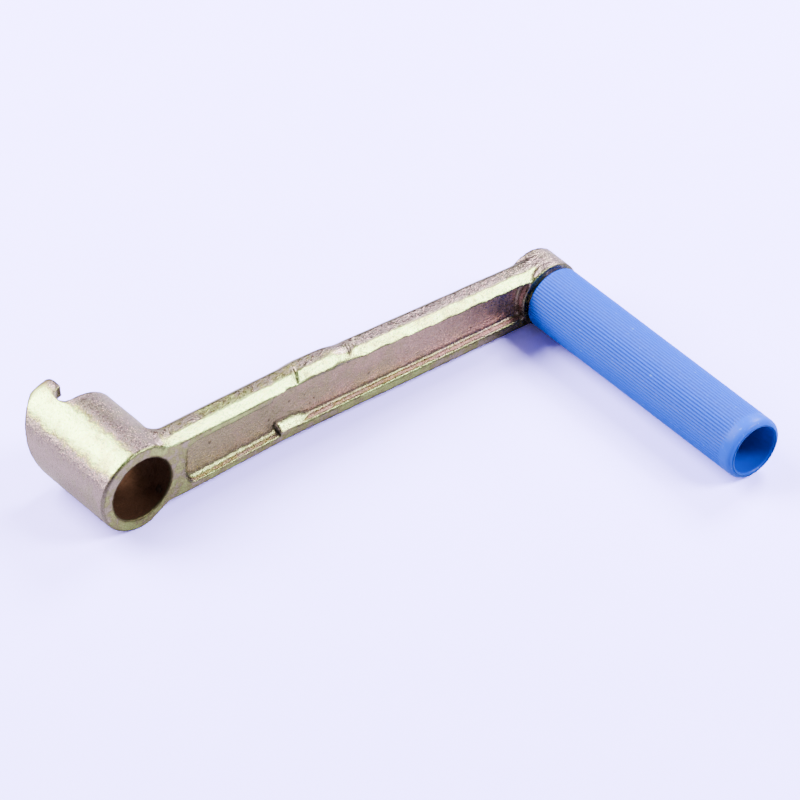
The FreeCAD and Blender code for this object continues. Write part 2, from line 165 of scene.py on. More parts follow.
def chromated_zinc(looks):
    """Cast steel, zinc plated and passivated in yellow chromate.

    The thin film turns from straw and green to pink with its thickness, so the eye gets soft
    coloured clouds on a bright satin metal, dark grains in the casting's pores, and brown webs.
    The tone is also laid on by the way a face turns, as painted light: pale yellow-green where it
    faces the softboxes' highlights, and olive beside them for painted dark reflection bands.
    Painted shade darkens the hollows, the proud edges, the creases, the bore and the hook's tip.
    """
    material, tree, shader = new_material("zinc_plate_yellow_chromate")
    clouds = grain(tree, looks.cloud_mm, 3.0, 0.6)
    patches = grain(tree, looks.patch_mm, 3.0, 0.6, (0.31, 0.17, 0.05))
    thickness = add_node(tree, "ShaderNodeMath", {0: clouds, 1: patches}, operation="ADD").outputs[0]
    drift = stepped(tree, thickness, 0.72, 1.28, -0.3, 0.3)
    # film holds the chromate's tone plus a painted highlight tint, laid on by facing in the crank's
    # tones step
    film = add_node(tree, "ShaderNodeAttribute", attribute_name="film").outputs["Fac"]
    tone = add_node(tree, "ShaderNodeMath", {0: film, 1: drift}, operation="ADD").outputs[0]
    # Ramp: mauve for faces turned away, olive in the middle for painted dark reflection bands beside the
    # highlights, pale yellow-green at the top for the painted highlight colour
    ramp = add_node(tree, "ShaderNodeValToRGB", {0: tone})
    stops = ramp.color_ramp.elements
    stops[0].color = linear("b49a9e")
    stops[1].color = linear("c2dc8e")
    for place, colour in ((0.3, "ae9c92"), (0.5, "9c936c"), (0.75, "b0b878")):
        stops.new(place).color = linear(colour)
    web = add_node(tree, "ShaderNodeAttribute", attribute_name="web").outputs["Fac"]
    rise = add_node(tree, "ShaderNodeAttribute", attribute_name="rise").outputs["Fac"]
    bore = add_node(tree, "ShaderNodeAttribute", attribute_name="bore").outputs["Fac"]
    browner = stepped(tree, tone, 0.0, 1.0)
    brown = mixed(tree, browner, "b8948e", "a4937a")
    colour = mixed(tree, web, ramp.outputs[0], brown)
    # Painted shade: the bore and the hook's tip are darkened to dark brown
    colour = mixed(tree, bore, colour, "5a4032")
    pores = grain(tree, looks.grain_mm, 4.0, 0.7, (0.7, 0.2, 0.4))
    specks = stepped(tree, pores, 0.3, 0.44, 0.55, 0.0)
    colour = mixed(tree, specks, colour, mixed(tree, 0.8, colour, "2f2c1e"))
    # Painted shade: the hollows and roots of the casting are darkened
    hollow = stepped(tree, rise, 0.42, 0.12)
    colour = mixed(tree, hollow, colour, mixed(tree, 0.6, colour, "2b241c"))
    # Painted shade: a dark olive line along the proud edges
    edge = stepped(tree, rise, 0.66, 0.86)
    colour = mixed(tree, edge, colour, mixed(tree, 0.6, colour, "3f4630"))
    # Painted shade along the creases and at the lump's edge
    crease_and_lip_shade = add_node(tree, "ShaderNodeAttribute", attribute_name="crease_and_lip_shade").outputs["Fac"]
    colour = mixed(tree, crease_and_lip_shade, colour, "2a2a1c")
    tree.links.new(colour, shader.inputs["Base Color"])
    shader.inputs["Metallic"].default_value = 1.0
    rough = stepped(tree, pores, 0.3, 0.7, looks.roughness + 0.14, looks.roughness - 0.05)
    dulled = add_node(tree, "ShaderNodeMath", {0: bore, 1: 0.3, 2: rough}, operation="MULTIPLY_ADD")
    tree.links.new(dulled.outputs[0], shader.inputs["Roughness"])
    peel = grain(tree, looks.grain_mm * 3, 3.0, 0.6, (0.1, 0.9, 0.3))
    relief = add_node(tree, "ShaderNodeMath", {0: peel, 1: 1.6, 2: pores},
                      operation="MULTIPLY_ADD").outputs[0]
    bump = add_node(tree, "ShaderNodeBump",
                    {"Height": relief, "Strength": looks.bump, "Distance": looks.relief_mm * MM})
    tree.links.new(bump.outputs[0], shader.inputs["Normal"])
    return material


def turned_steel(looks):
    """Mild steel turned on a lathe and zinc plated: fine rings round the axis and a duller grey."""
    material, tree, shader = new_material("turned_steel_zinc_plated")
    pitch = 1 / (looks.turning_mm * MM)
    place = add_node(tree, "ShaderNodeTexCoord").outputs["Object"]
    rings = add_node(tree, "ShaderNodeMapping", {"Vector": place, "Scale": (0, pitch, 0)})
    marks = add_node(tree, "ShaderNodeTexNoise",
                     {"Vector": rings.outputs[0], "Scale": 1.0, "Detail": 2.0}).outputs[0]
    stain = grain(tree, looks.patch_mm, 3.0, 0.6)
    colour = mixed(tree, stepped(tree, stain, 0.35, 0.65), "b7b29a", "9c948c")
    tree.links.new(colour, shader.inputs["Base Color"])
    shader.inputs["Metallic"].default_value = 1.0
    tree.links.new(stepped(tree, marks, 0.3, 0.7, 0.3, 0.46), shader.inputs["Roughness"])
    bump = add_node(tree, "ShaderNodeBump",
                    {"Height": marks, "Strength": 0.35, "Distance": 0.02 * MM})
    tree.links.new(bump.outputs[0], shader.inputs["Normal"])
    return material


def moulded_plastic(looks):
    """Blue polyethylene from a mould: waxy and satin, paler where the ribs are scuffed; painted shade in
    grooves and mouth.
    """
    material, tree, shader = new_material("moulded_polyethylene_blue")
    crest = add_node(tree, "ShaderNodeAttribute", attribute_name="crest").outputs["Fac"]
    scuff = grain(tree, looks.scuff_mm, 4.0, 0.65)
    base = add_node(tree, "ShaderNodeRGB").outputs[0]
    base.default_value = list(looks.colour) + [1.0]
    # Painted shade: the grooves between the ribs and the mouth's inner walls take a darker blue
    groove_and_mouth_shade = mixed(tree, 0.75, base, "001c88")
    colour = mixed(tree, crest, groove_and_mouth_shade, base)
    worn = add_node(tree, "ShaderNodeMath",
                    {0: stepped(tree, scuff, 0.63, 0.72), 1: crest}, operation="MULTIPLY").outputs[0]
    colour = mixed(tree, worn, colour, mixed(tree, 0.35, colour, "8fc4ff"))
    tree.links.new(colour, shader.inputs["Base Color"])
    tree.links.new(stepped(tree, scuff, 0.3, 0.7, 0.32, 0.44), shader.inputs["Roughness"])
    shader.inputs["IOR"].default_value = 1.51
    shader.inputs["Specular IOR Level"].default_value = 0.12
    shader.inputs["Subsurface Weight"].default_value = 0.12
    shader.inputs["Subsurface Radius"].default_value = (0.2, 0.4, 1.0)
    shader.inputs["Subsurface Scale"].default_value = 1.2 * MM
    fine = grain(tree, looks.skin_mm, 2.0)
    bump = add_node(tree, "ShaderNodeBump",
                    {"Height": fine, "Strength": 0.3, "Distance": 0.03 * MM})
    tree.links.new(bump.outputs[0], shader.inputs["Normal"])
    return material


def seamless_paper(looks):
    """Paper backdrop, matt, lavender in the studio's light.

    The camera sees it overexposed, as product photographs show it, but the metal doesn't.
    """
    material, tree, shader = new_material("seamless_paper")
    fibres = grain(tree, looks.fibre_mm, 2.0)
    colour = mixed(tree, fibres, "a8a8bc", "aeaec0")
    pale = mixed(tree, fibres, "a498fe", "a89cff")
    seen = add_node(tree, "ShaderNodeLightPath").outputs["Is Camera Ray"]
    shown = add_node(tree, "ShaderNodeVectorMath", {0: pale, 3: looks.paper_gain},
                     operation="SCALE").outputs[0]
    tree.links.new(mixed(tree, seen, colour, shown), shader.inputs["Base Color"])
    shader.inputs["Roughness"].default_value = 0.9
    shader.inputs["Specular IOR Level"].default_value = 0.1
    return material


class Surface:
    """Positions, edges and normals of a mesh as arrays, for smoothing and moving its points."""

    def __init__(self, mesh):
        self.mesh = mesh
        self.count = len(mesh.vertices)
        self.points = np.empty(self.count * 3)
        mesh.vertices.foreach_get("co", self.points)
        self.points = self.points.reshape(-1, 3)
        pairs = np.empty(len(mesh.edges) * 2, dtype=np.int64)
        mesh.edges.foreach_get("vertices", pairs)
        self.first, self.second = pairs.reshape(-1, 2).T
        self.degree = self.spread(np.ones(self.count))

    def spread(self, values):
        """Sum of each point's neighbours."""
        return (np.bincount(self.first, values[self.second], self.count)
                + np.bincount(self.second, values[self.first], self.count))

    def averaged(self, values):
        """Mean of each point's neighbours, for one number a point."""
        return self.spread(values) / self.degree

    def relax(self, steps, share=0.5, weight=None):
        """Pull each point towards the mean of its neighbours."""
        weight = np.ones(self.count) if weight is None else weight
        for _ in range(steps):
            mean = np.stack([self.averaged(self.points[:, i]) for i in range(3)], axis=1)
            self.points += (mean - self.points) * (share * weight)[:, None]

    def blurred(self, values, steps):
        for _ in range(steps):
            values = (values + self.averaged(values)) / 2
        return values

    def store(self):
        self.mesh.vertices.foreach_set("co", self.points.ravel())
        self.mesh.update()

    def normals(self):
        self.store()
        found = np.empty(self.count * 3)
        self.mesh.vertex_normals.foreach_get("vector", found)
        return found.reshape(-1, 3)

    def save(self, name, values):
        """Keep one number a point as an attribute that a material reads."""
        attribute = self.mesh.attributes.new(name, "FLOAT", "POINT")
        attribute.data.foreach_set("value", values.astype(np.float32))


def arm_frame(points):
    """Points in the arm's own level frame, in millimetres: along, through and up."""
    x, y, z = points.T / MM
    along = x * math.cos(DIP) - z * math.sin(DIP)
    up = x * math.sin(DIP) + z * math.cos(DIP)
    return along, y, up


def cast_surface(points, size_mm, octaves, seed):
    """Unevenness of a casting at each point, about -1 to 1."""
    scale = 1 / (size_mm * MM)
    offset = Vector((seed, seed * 1.7, seed * 2.3))
    return np.array([noise.fractal(Vector(p) * scale + offset, 0.8, 2.0, octaves) for p in points])


class CrankLooks(bpy.types.PropertyGroup):
    """Finish of the cast crank and of the spindle riveted to it."""
    voxel: FloatProperty(name="Mesh size", description="Edge length of the casting's mesh",
                         default=0.62 * MM, unit="LENGTH")
    edge_steps: IntProperty(name="Edge rounding", description="Smoothing steps on all edges",
                            default=2, min=0)
    root_steps: IntProperty(name="Root rounding", description="Extra smoothing steps at the roots",
                            default=28, min=0)
    waviness: FloatProperty(name="Waviness", description="Slow unevenness of the cast faces",
                            default=0.22 * MM, unit="LENGTH")
    tooth: FloatProperty(name="Tooth", description="Fine unevenness of the cast faces",
                         default=0.07 * MM, unit="LENGTH")
    cloud_mm: FloatProperty(name="Clouds", description="Width of the film's clouds, mm", default=22)
    patch_mm: FloatProperty(name="Patches", description="Width of the film's patches, mm", default=4)
    grain_mm: FloatProperty(name="Grain", description="Grain of the casting, mm", default=0.9)
    relief_mm: FloatProperty(name="Relief", description="Height of the grain, mm", default=0.2)
    bump: FloatProperty(name="Bump", description="Strength of the grain", default=1.0, subtype="FACTOR")
    roughness: FloatProperty(name="Roughness", description="Roughness of the plate", default=0.23,
                             subtype="FACTOR")
    corner: FloatProperty(name="Corners", description="Rounding of the spindle's corners",
                          default=0.35 * MM, unit="LENGTH")
    rivet: FloatProperty(name="Rivet", description="Height of the rivet's head",
                         default=2.4 * MM, unit="LENGTH")
    hammering: FloatProperty(name="Hammering", description="Unevenness of the rivet's head",
                             default=0.3 * MM, unit="LENGTH")
    turning_mm: FloatProperty(name="Turning", description="Pitch of the turning marks, mm", default=0.5)


class GripLooks(bpy.types.PropertyGroup):
    """Form and finish of the moulded grip."""
    ribs: IntProperty(name="Ribs", description="Ribs round the grip", default=64, min=3)
    rib_height: FloatProperty(name="Rib height", description="Depth of the grooves",
                              default=0.4 * MM, unit="LENGTH")
    collar: FloatProperty(name="Plain collar", description="Stretch without ribs at the free end",
                          default=6 * MM, unit="LENGTH")
    mouth: FloatProperty(name="Mouth", description="Radius of the wide bore",
                         default=10.4 * MM, unit="LENGTH")
    mouth_depth: FloatProperty(name="Mouth depth", description="Depth of the wide bore",
                               default=24 * MM, unit="LENGTH")
    bore: FloatProperty(name="Bore", description="Radius of the running bore",
                        default=8.06 * MM, unit="LENGTH")
    end_round: FloatProperty(name="End rounding", description="Radius of the free end's outer edge",
                             default=2.6 * MM, unit="LENGTH")
    colour: FloatVectorProperty(name="Colour", description="Colour of the plastic", subtype="COLOR",
                                default=linear("044ee6")[:3], min=0, max=1)
    scuff_mm: FloatProperty(name="Scuffs", description="Size of the scuffs, mm", default=1.6)
    skin_mm: FloatProperty(name="Skin", description="Grain of the mould's skin, mm", default=0.35)


class StageLooks(bpy.types.PropertyGroup):
    """Studio table, light and camera."""
    fibre_mm: FloatProperty(name="Fibres", description="Mottle of the paper, mm", default=40)
    paper_gain: FloatProperty(name="Exposure", description="How much brighter the camera sees the paper",
                              default=2.8)
    azimuth: FloatProperty(name="Azimuth", description="Camera's turn about the object",
                           default=-39.72 * DEG, subtype="ANGLE")
    elevation: FloatProperty(name="Elevation", description="Camera's height angle",
                             default=41.04 * DEG, subtype="ANGLE")
    distance: FloatProperty(name="Distance", description="Camera to its aim", default=2.66245,
                            unit="LENGTH")
    lens: FloatProperty(name="Lens", description="Focal length on a 36 mm sensor, mm", default=304.2)
    aim: FloatVectorProperty(name="Aim", description="Point that the camera looks at",
                             default=(0.12362, -0.00561, -0.0195), subtype="XYZ", unit="LENGTH")
    back: FloatProperty(name="Back light", description="Power of the softbox behind the hub",
                        default=60, unit="POWER")
    back_aim: FloatVectorProperty(name="Back light's place", description="Its place, from the hub",
                                  default=(-0.40, 0.76, 0.80), subtype="XYZ", unit="LENGTH")
    back_size: FloatVectorProperty(name="Back light's size", description="Across and up", size=2,
                                   default=(1.1, 0.7), unit="LENGTH")
    front: FloatProperty(name="Front light", description="Power of the softbox in front",
                         default=36, unit="POWER")
    front_aim: FloatVectorProperty(name="Front light's place", description="Its place, from the hub",
                                   default=(0.74, -0.78, 0.86), subtype="XYZ", unit="LENGTH")
    front_size: FloatVectorProperty(name="Front light's size", description="Across and up", size=2,
                                    default=(0.45, 0.45), unit="LENGTH")
    side: FloatProperty(name="Side light", description="Power of the softbox beyond the grip",
                        default=26, unit="POWER")
    side_aim: FloatVectorProperty(name="Side light's place", description="Its place, from the hub",
                                  default=(0.98, 0.20, 0.72), subtype="XYZ", unit="LENGTH")
    side_size: FloatVectorProperty(name="Side light's size", description="Across and up", size=2,
                                   default=(0.35, 0.35), unit="LENGTH")
    sky: FloatProperty(name="Room light", description="Strength of the room's even light", default=0.38)
    drape_aim: FloatVectorProperty(name="Drape's place", description="Way to the drape, from the hub",
                                   default=(-0.55, 0.62, 0.55), subtype="XYZ")
    drape_inner: FloatProperty(name="Drape", description="Half width of the black drape",
                               default=46 * DEG, subtype="ANGLE")
    drape_outer: FloatProperty(name="Drape's edge", description="Where the drape has faded out",
                               default=60 * DEG, subtype="ANGLE")


def finished(mesh, name, material, body, node):
    """Make a mesh the finished piece that stands for a node."""
    piece = bpy.data.objects.new(name, mesh)
    bpy.context.collection.objects.link(piece)
    mesh.materials.clear()
    mesh.materials.append(material)
    for face in mesh.polygons:
        face.use_smooth = True
    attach(piece, body)
    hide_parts(node)
    return piece


def merge(mesh):
    """Join the points that a CAD mesh doubles along its edges."""
    work = bmesh.new()
    work.from_mesh(mesh)
    bmesh.ops.remove_doubles(work, verts=work.verts, dist=0.002 * MM)
    work.to_mesh(mesh)
    work.free()


def evaluated_mesh(piece):
    """The mesh of an object with its modifiers applied, as new data."""
    graph = bpy.context.evaluated_depsgraph_get()
    graph.update()
    return bpy.data.meshes.new_from_object(piece.evaluated_get(graph))


class HANDLE_OT_crank(bpy.types.Operator):
    """Build the cast crank with its rounded edges, pits and plated skin"""
    bl_idname = "handle.crank"
    bl_label = "Crank"

    # Casting pits on the arm's front: along the arm, height above its axis, radius, depth, in mm
    PITS = ((35.5, 2.5, 0.9, 0.5), (64.9, -1.6, 0.7, 0.4), (75.0, 2.6, 0.8, 0.5),
            (82.3, 2.8, 0.6, 0.4), (86.9, -1.1, 0.7, 0.4), (84.6, -2.8, 0.6, 0.4),
            (113.4, -1.3, 0.8, 0.4), (163.6, -2.2, 0.7, 0.4))
    # Creases across the bevel: along the arm, slant of the crease, width, in mm
    CREASES = ((78.0, 0.35, 0.9), (104.0, 0.3, 0.8))
    CREASE_DEPTH = 0.5
    # Lump in the front recess's lower corner: where it starts, is full to and ends, in mm
    LUMP = (67.6, 76.0, 95.0)
    # Facings whose film tone is pushed to the pale yellow-green end. The first two are painted
    # highlights: the barrel where the back softbox reflects, and the bevel where the front one does.
    # The third tints the front faces at half share. Columns: direction, facings between which it
    # grows, share
    HIGHLIGHT_AND_FRONT_FACINGS = (((-0.5, -0.1, 0.86), 0.88, 0.985, 1.0), ((0.0, -0.67, 0.74), 0.8, 0.97, 1.0),
               ((0.0, -1.0, 0.0), 0.85, 0.97, 0.5))

    def execute(self, context):
        looks = context.scene.crank_looks
        mesh = self.casting(looks)
        surface = Surface(mesh)
        along, through, up = arm_frame(surface.points)
        surface.relax(looks.edge_steps)
        hub_gap = np.hypot(along, up) - HUB_RADIUS / MM
        eye_gap = np.hypot(along - HINGE_REACH / MM, up) - EYE_RADIUS / MM
        roots = ((1 - smooth_step(2.0, 5.0, np.abs(hub_gap))) * (along > 5)
                 * (np.abs(up) < 18) * (through < 22))
        roots = np.maximum(roots, (1 - smooth_step(1.0, 4.0, np.abs(eye_gap))) * (along < 196))
        surface.relax(looks.root_steps, weight=surface.blurred(roots, 4))
        self.level_web(surface)
        self.lump(surface)
        self.creases(surface)
        self.pits(surface)
        self.roughen(surface, looks)
        surface.points = np.clip(surface.points, *[np.array(corner) for corner in CRANK_BOX])
        surface.store()
        self.tones(surface)
        finished(mesh, "crank_casting", chromated_zinc(looks), "crank", "crank_arm")
        return {"FINISHED"}

    def casting(self, looks):
        """An even mesh over the crank's solid."""
        mesh = frame["nodes"]["crank_arm"].data.copy()
        merge(mesh)
        piece = bpy.data.objects.new("casting", mesh)
        bpy.context.collection.objects.link(piece)
        remesh = piece.modifiers.new("even", "REMESH")
        remesh.mode = "VOXEL"
        remesh.voxel_size = looks.voxel
        onto = piece.modifiers.new("onto", "SHRINKWRAP")
        onto.target = frame["nodes"]["crank_arm"]
        even = evaluated_mesh(piece)
        bpy.data.objects.remove(piece)
        if not even.vertices:
            raise RuntimeError("the crank's mesh came out empty")
        return even

    def lump(self, surface):
        """Metal left in the lower corner of the front recess, with a slope that catches the light."""
        start, full, end = self.LUMP
        along, through, up = arm_frame(surface.points)
        stretch = smooth_step(start, start + 0.9, along) * (1 - smooth_step(full, end, along))
        slope = (up + 7.9) * 0.95 + 3.4 * (1 - stretch)
        filled = np.clip(through - np.maximum(slope, 0.1), 0, 3.2)
        corner = (up > -9.0) * (up < -2) * (through < 5)
        surface.points[:, 1] -= MM * filled * corner

    def level_web(self, surface):
        """Even out the step where the recess's two halves meet, and the swell's drop."""
        along, through, up = arm_frame(surface.points)
        weight = smooth_step(57, 61, along) * (1 - smooth_step(76, 80, along))
        weight *= smooth_step(-7.0, -5.5, up) * (1 - smooth_step(8.0, 9.5, up))
        weight *= (through > 1) * (through < 6)
        drop = smooth_step(94, 99, along) * (1 - smooth_step(103, 108, along)) * smooth_step(11, 13, up)
        surface.relax(60, weight=np.maximum(weight, drop))

    def creases(self, surface):
        """Cold laps that cross the arm's upper bevel, pressed in as creases and painted dark along them
        as shade.
        """
        along, through, up = arm_frame(surface.points)
        crease_and_lip_shade = np.zeros(surface.count)
        for at, slant, width in self.CREASES:
            aside = np.abs(along - at - slant * (through - 4))
            lap = (1 - smooth_step(0.2 * width, 0.75 * width, aside)) * (up > 9) * (through < 5.5)
            lap *= smooth_step(0.2, 0.6, through)
            surface.points[:, 2] -= self.CREASE_DEPTH * MM * lap
            crease_and_lip_shade = np.maximum(crease_and_lip_shade, lap)
        # Painted shade: a dark line where the lump begins in the recess's corner
        aside = np.abs(along - self.LUMP[0] - 0.06 * (up + 6) ** 2)
        lip = (1 - smooth_step(0.25, 0.6, aside)) * (up > -9.5) * (up < -4) * (through < 4)
        surface.save("crease_and_lip_shade", np.maximum(crease_and_lip_shade, lip))

    def pits(self, surface):
        along, through, up = arm_frame(surface.points)
        for at, height, radius, depth in self.PITS:
            away = np.hypot(along - at, up - height)
            dent = (1 - smooth_step(0, radius, away)) * (through < 5)
            surface.points[:, 1] += depth * MM * dent

    def roughen(self, surface, looks):
        """Unevenness of the casting, only ever inwards."""
        normals = surface.normals()
        slow = cast_surface(surface.points, 14, 2, 3.1)
        fine = cast_surface(surface.points, 2.2, 3, 8.4)
        depth = looks.waviness * (slow * 0.5 + 0.5) + looks.tooth * (fine * 0.5 + 0.5)
        _, through, _ = arm_frame(surface.points)
        radius = np.hypot(surface.points[:, 0], surface.points[:, 2])
        bored = 1 - 0.85 * (radius < BORE_EDGE)
        surface.points -= normals * (depth * bored)[:, None]

    def tones(self, surface):
        """Numbers for the finish: film colour with a painted highlight tint by facing, brown webs,
        dark bore with painted shade in it and on the hook's tip, and how proud or hollow it is.
        """
        normals = surface.normals()
        along, through, up = arm_frame(surface.points)
        bend = np.maximum(along - BEND_START_MM, 0) * math.tan(BEND)
        depth = through + bend
        inside = ((along > 19) & (along < 186) & (depth > 1.7) & (depth < 11.3)
                  & (np.abs(up) < 12) & (np.abs(normals[:, 1]) > 0.8))
        surface.save("web", surface.blurred(inside.astype(float), 3))
        radius = np.hypot(surface.points[:, 0], surface.points[:, 2])
        inward = (normals[:, 0] * surface.points[:, 0] + normals[:, 2] * surface.points[:, 2]) < 0
        # Painted shade on the hook's tip, carried in the bore attribute so that it takes the bore's dark
        # brown
        hook_tip_shade = 0.75 * smooth_step(HOOK_TIP - 3.5 * MM, HOOK_TIP - 1.0 * MM, surface.points[:, 1])
        bored = np.maximum(inward & (radius < BORE_EDGE), hook_tip_shade)
        surface.save("bore", surface.blurred(bored, 2))
        # Painted highlight tint: the tone rises where faces turn towards the softboxes' reflections; top
        # faces and webs are graded from the hub to the eye instead
        film_and_highlight = np.zeros(surface.count)
        for direction, low, high, share in self.HIGHLIGHT_AND_FRONT_FACINGS:
            facing = normals @ np.array(Vector(direction).normalized())
            film_and_highlight = np.maximum(film_and_highlight, share * smooth_step(low, high, facing))
        top = smooth_step(0.8, 0.93, normals[:, 2]) * (along > 12)
        towards_hub = 1 - smooth_step(20, 180, along)
        film_and_highlight += (0.45 * towards_hub - film_and_highlight) * top
        film_and_highlight[inside] = towards_hub[inside]
        surface.save("film", surface.blurred(film_and_highlight, 2))
        # How proud or hollow each point is; the finish paints shade into the hollows and along the proud
        # edges by it
        mean = np.stack([surface.averaged(surface.points[:, i]) for i in range(3)], axis=1)
        curve = ((surface.points - mean) * normals).sum(axis=1) / (0.06 * MM)
        surface.save("rise", np.clip(0.5 + surface.blurred(curve, 2), 0, 1))


def lathe(name, profile, axis, segments):
    """A closed ring profile of (distance along Y, radius) pairs turned about an axis along Y."""
    work = bmesh.new()
    rings = []
    for along, radius in profile:
        turns = [2 * math.pi * i / segments for i in range(segments)]
        rings.append([work.verts.new((axis.x + radius * math.cos(t), along,
                                      axis.z + radius * math.sin(t))) for t in turns])
    for ring, following in zip(rings, rings[1:] + rings[:1]):
        for i in range(segments):
            j = (i + 1) % segments
            work.faces.new((ring[i], ring[j], following[j], following[i]))
    bmesh.ops.recalc_face_normals(work, faces=work.faces)
    mesh = bpy.data.meshes.new(name)
    work.to_mesh(mesh)
    work.free()
    return mesh


def rounded(profile, radius, steps=4):
    """Round the marked corners of a profile of (along, radius, rounding) triples."""
    result = []
    count = len(profile)
    for i, (along, distance, share) in enumerate(profile):
        here = Vector((along, distance))
        if not share:
            result.append(tuple(here))
            continue
        before = Vector(profile[i - 1][:2]) - here
        after = Vector(profile[(i + 1) % count][:2]) - here
        start = here + before.normalized() * radius * share
        end = here + after.normalized() * radius * share
        for step in range(steps + 1):
            t = step / steps
            result.append(tuple(start * (1 - t) ** 2 + here * 2 * t * (1 - t) + end * t * t))
    return result


class HANDLE_OT_spindle(bpy.types.Operator):
    """Build the spindle with its collar, head and hammered rivet"""
    bl_idname = "handle.spindle"
    bl_label = "Spindle"

    def execute(self, context):
        looks = context.scene.crank_looks
        mesh = frame["nodes"]["handle_spindle"].data.copy()
        merge(mesh)
        piece = bpy.data.objects.new("spindle", mesh)
        bpy.context.collection.objects.link(piece)
        corners = piece.modifiers.new("corners", "BEVEL")
        corners.width = looks.corner
        corners.segments = 3
        corners.angle_limit = 35 * DEG
        even = evaluated_mesh(piece)
        bpy.data.objects.remove(piece)
        surface = Surface(even)
        hammered = cast_surface(surface.points, 4.5, 2, 5.2) * 0.5 + 0.5
        rivet = SPINDLE_BOX[1][1] - looks.rivet
        behind = smooth_step(rivet, rivet + 0.8 * MM, surface.points[:, 1])
        surface.points -= surface.normals() * (looks.hammering * hammered * behind)[:, None]
        surface.points = np.clip(surface.points, *[np.array(corner) for corner in SPINDLE_BOX])
        surface.store()
        finished(even, "spindle_turning", turned_steel(looks), "crank", "handle_spindle")
        return {"FINISHED"}


# How round the ribs' crests are: under 1 they are broad and the grooves narrow
CREST_ROUNDNESS = 0.62
# Only points within these distances of the outer wall move, the nearer ones fully
WALL_NEAR = 0.05 * MM
WALL_FAR = 0.35 * MM
# Stretches over which the ribs run out at the collar, and the painted shade on the mouth's wall fades
# out
RIB_RUN_OUT = 0.9 * MM
LIP_WIDTH = 0.8 * MM


def rib_tree():
    """Nodes that press ribs into the outer wall of a turned sleeve and remember their crests."""
    tree = bpy.data.node_groups.new("moulded_ribs", "GeometryNodeTree")
    face = tree.interface
    face.new_socket("Geometry", in_out="INPUT", socket_type="NodeSocketGeometry")
    for name in ("Centre X", "Centre Z", "Outer Radius", "Mouth Radius", "Groove Depth", "Free End"):
        face.new_socket(name, in_out="INPUT", socket_type="NodeSocketFloat")
    face.new_socket("Ribs", in_out="INPUT", socket_type="NodeSocketInt")
    face.new_socket("Plastic", in_out="INPUT", socket_type="NodeSocketMaterial")
    face.new_socket("Geometry", in_out="OUTPUT", socket_type="NodeSocketGeometry")
    given = add_node(tree, "NodeGroupInput").outputs

    def maths(operation, *values):
        return add_node(tree, "ShaderNodeMath", dict(enumerate(values)), operation=operation).outputs[0]

    place = add_node(tree, "GeometryNodeInputPosition").outputs[0]
    parts = add_node(tree, "ShaderNodeSeparateXYZ", {0: place}).outputs
    across = maths("SUBTRACT", parts[0], given["Centre X"])
    up = maths("SUBTRACT", parts[2], given["Centre Z"])
    radius = maths("SQRT", maths("ADD", maths("MULTIPLY", across, across), maths("MULTIPLY", up, up)))
    angle = maths("ARCTAN2", across, up)
    swing = maths("ABSOLUTE", maths("COSINE", maths("MULTIPLY", angle,
                                                    maths("MULTIPLY", given["Ribs"], 0.5))))
    crest = maths("POWER", swing, CREST_ROUNDNESS)
    outside = add_node(tree, "ShaderNodeMapRange",
                       {"Value": maths("SUBTRACT", given["Outer Radius"], radius),
                        "From Min": WALL_FAR, "From Max": WALL_NEAR}).outputs[0]
    ending = add_node(tree, "ShaderNodeMapRange",
                      {"Value": parts[1], "From Min": given["Free End"],
                       "From Max": maths("ADD", given["Free End"], RIB_RUN_OUT)},
                      interpolation_type="SMOOTHSTEP").outputs[0]
    share = maths("MULTIPLY", outside, ending)
    # wall is 0 inside the mouth, where the grip's material paints shade, and 1 on the outside
    wall = add_node(tree, "ShaderNodeMapRange",
                    {"Value": radius, "From Min": given["Mouth Radius"],
                     "From Max": maths("ADD", given["Mouth Radius"], LIP_WIDTH)}).outputs[0]
    ridge = maths("SUBTRACT", 1.0, maths("MULTIPLY", share, maths("SUBTRACT", 1.0, crest)))
    groove = maths("SUBTRACT", 1.0, crest)
    depth = maths("MULTIPLY", maths("MULTIPLY", given["Groove Depth"], share), groove)
    pull = maths("DIVIDE", maths("MULTIPLY", depth, -1.0), radius)
    move = add_node(tree, "ShaderNodeCombineXYZ",
                    {0: maths("MULTIPLY", across, pull), 2: maths("MULTIPLY", up, pull)}).outputs[0]
    # The crest attribute is low in the grooves and 0 inside the mouth; the grip's material paints shade
    # there
    kept = add_node(tree, "GeometryNodeStoreNamedAttribute",
                    {"Geometry": given["Geometry"], "Name": "crest",
                     "Value": maths("MULTIPLY", wall, ridge)},
                    data_type="FLOAT", domain="POINT").outputs[0]
    moved = add_node(tree, "GeometryNodeSetPosition", {"Geometry": kept, "Offset": move}).outputs[0]
    real = add_node(tree, "GeometryNodeRealizeInstances", {"Geometry": moved}).outputs[0]
    dressed = add_node(tree, "GeometryNodeSetMaterial",
                       {"Geometry": real, "Material": given["Plastic"]}).outputs[0]
    add_node(tree, "NodeGroupOutput", {"Geometry": dressed})
    return tree


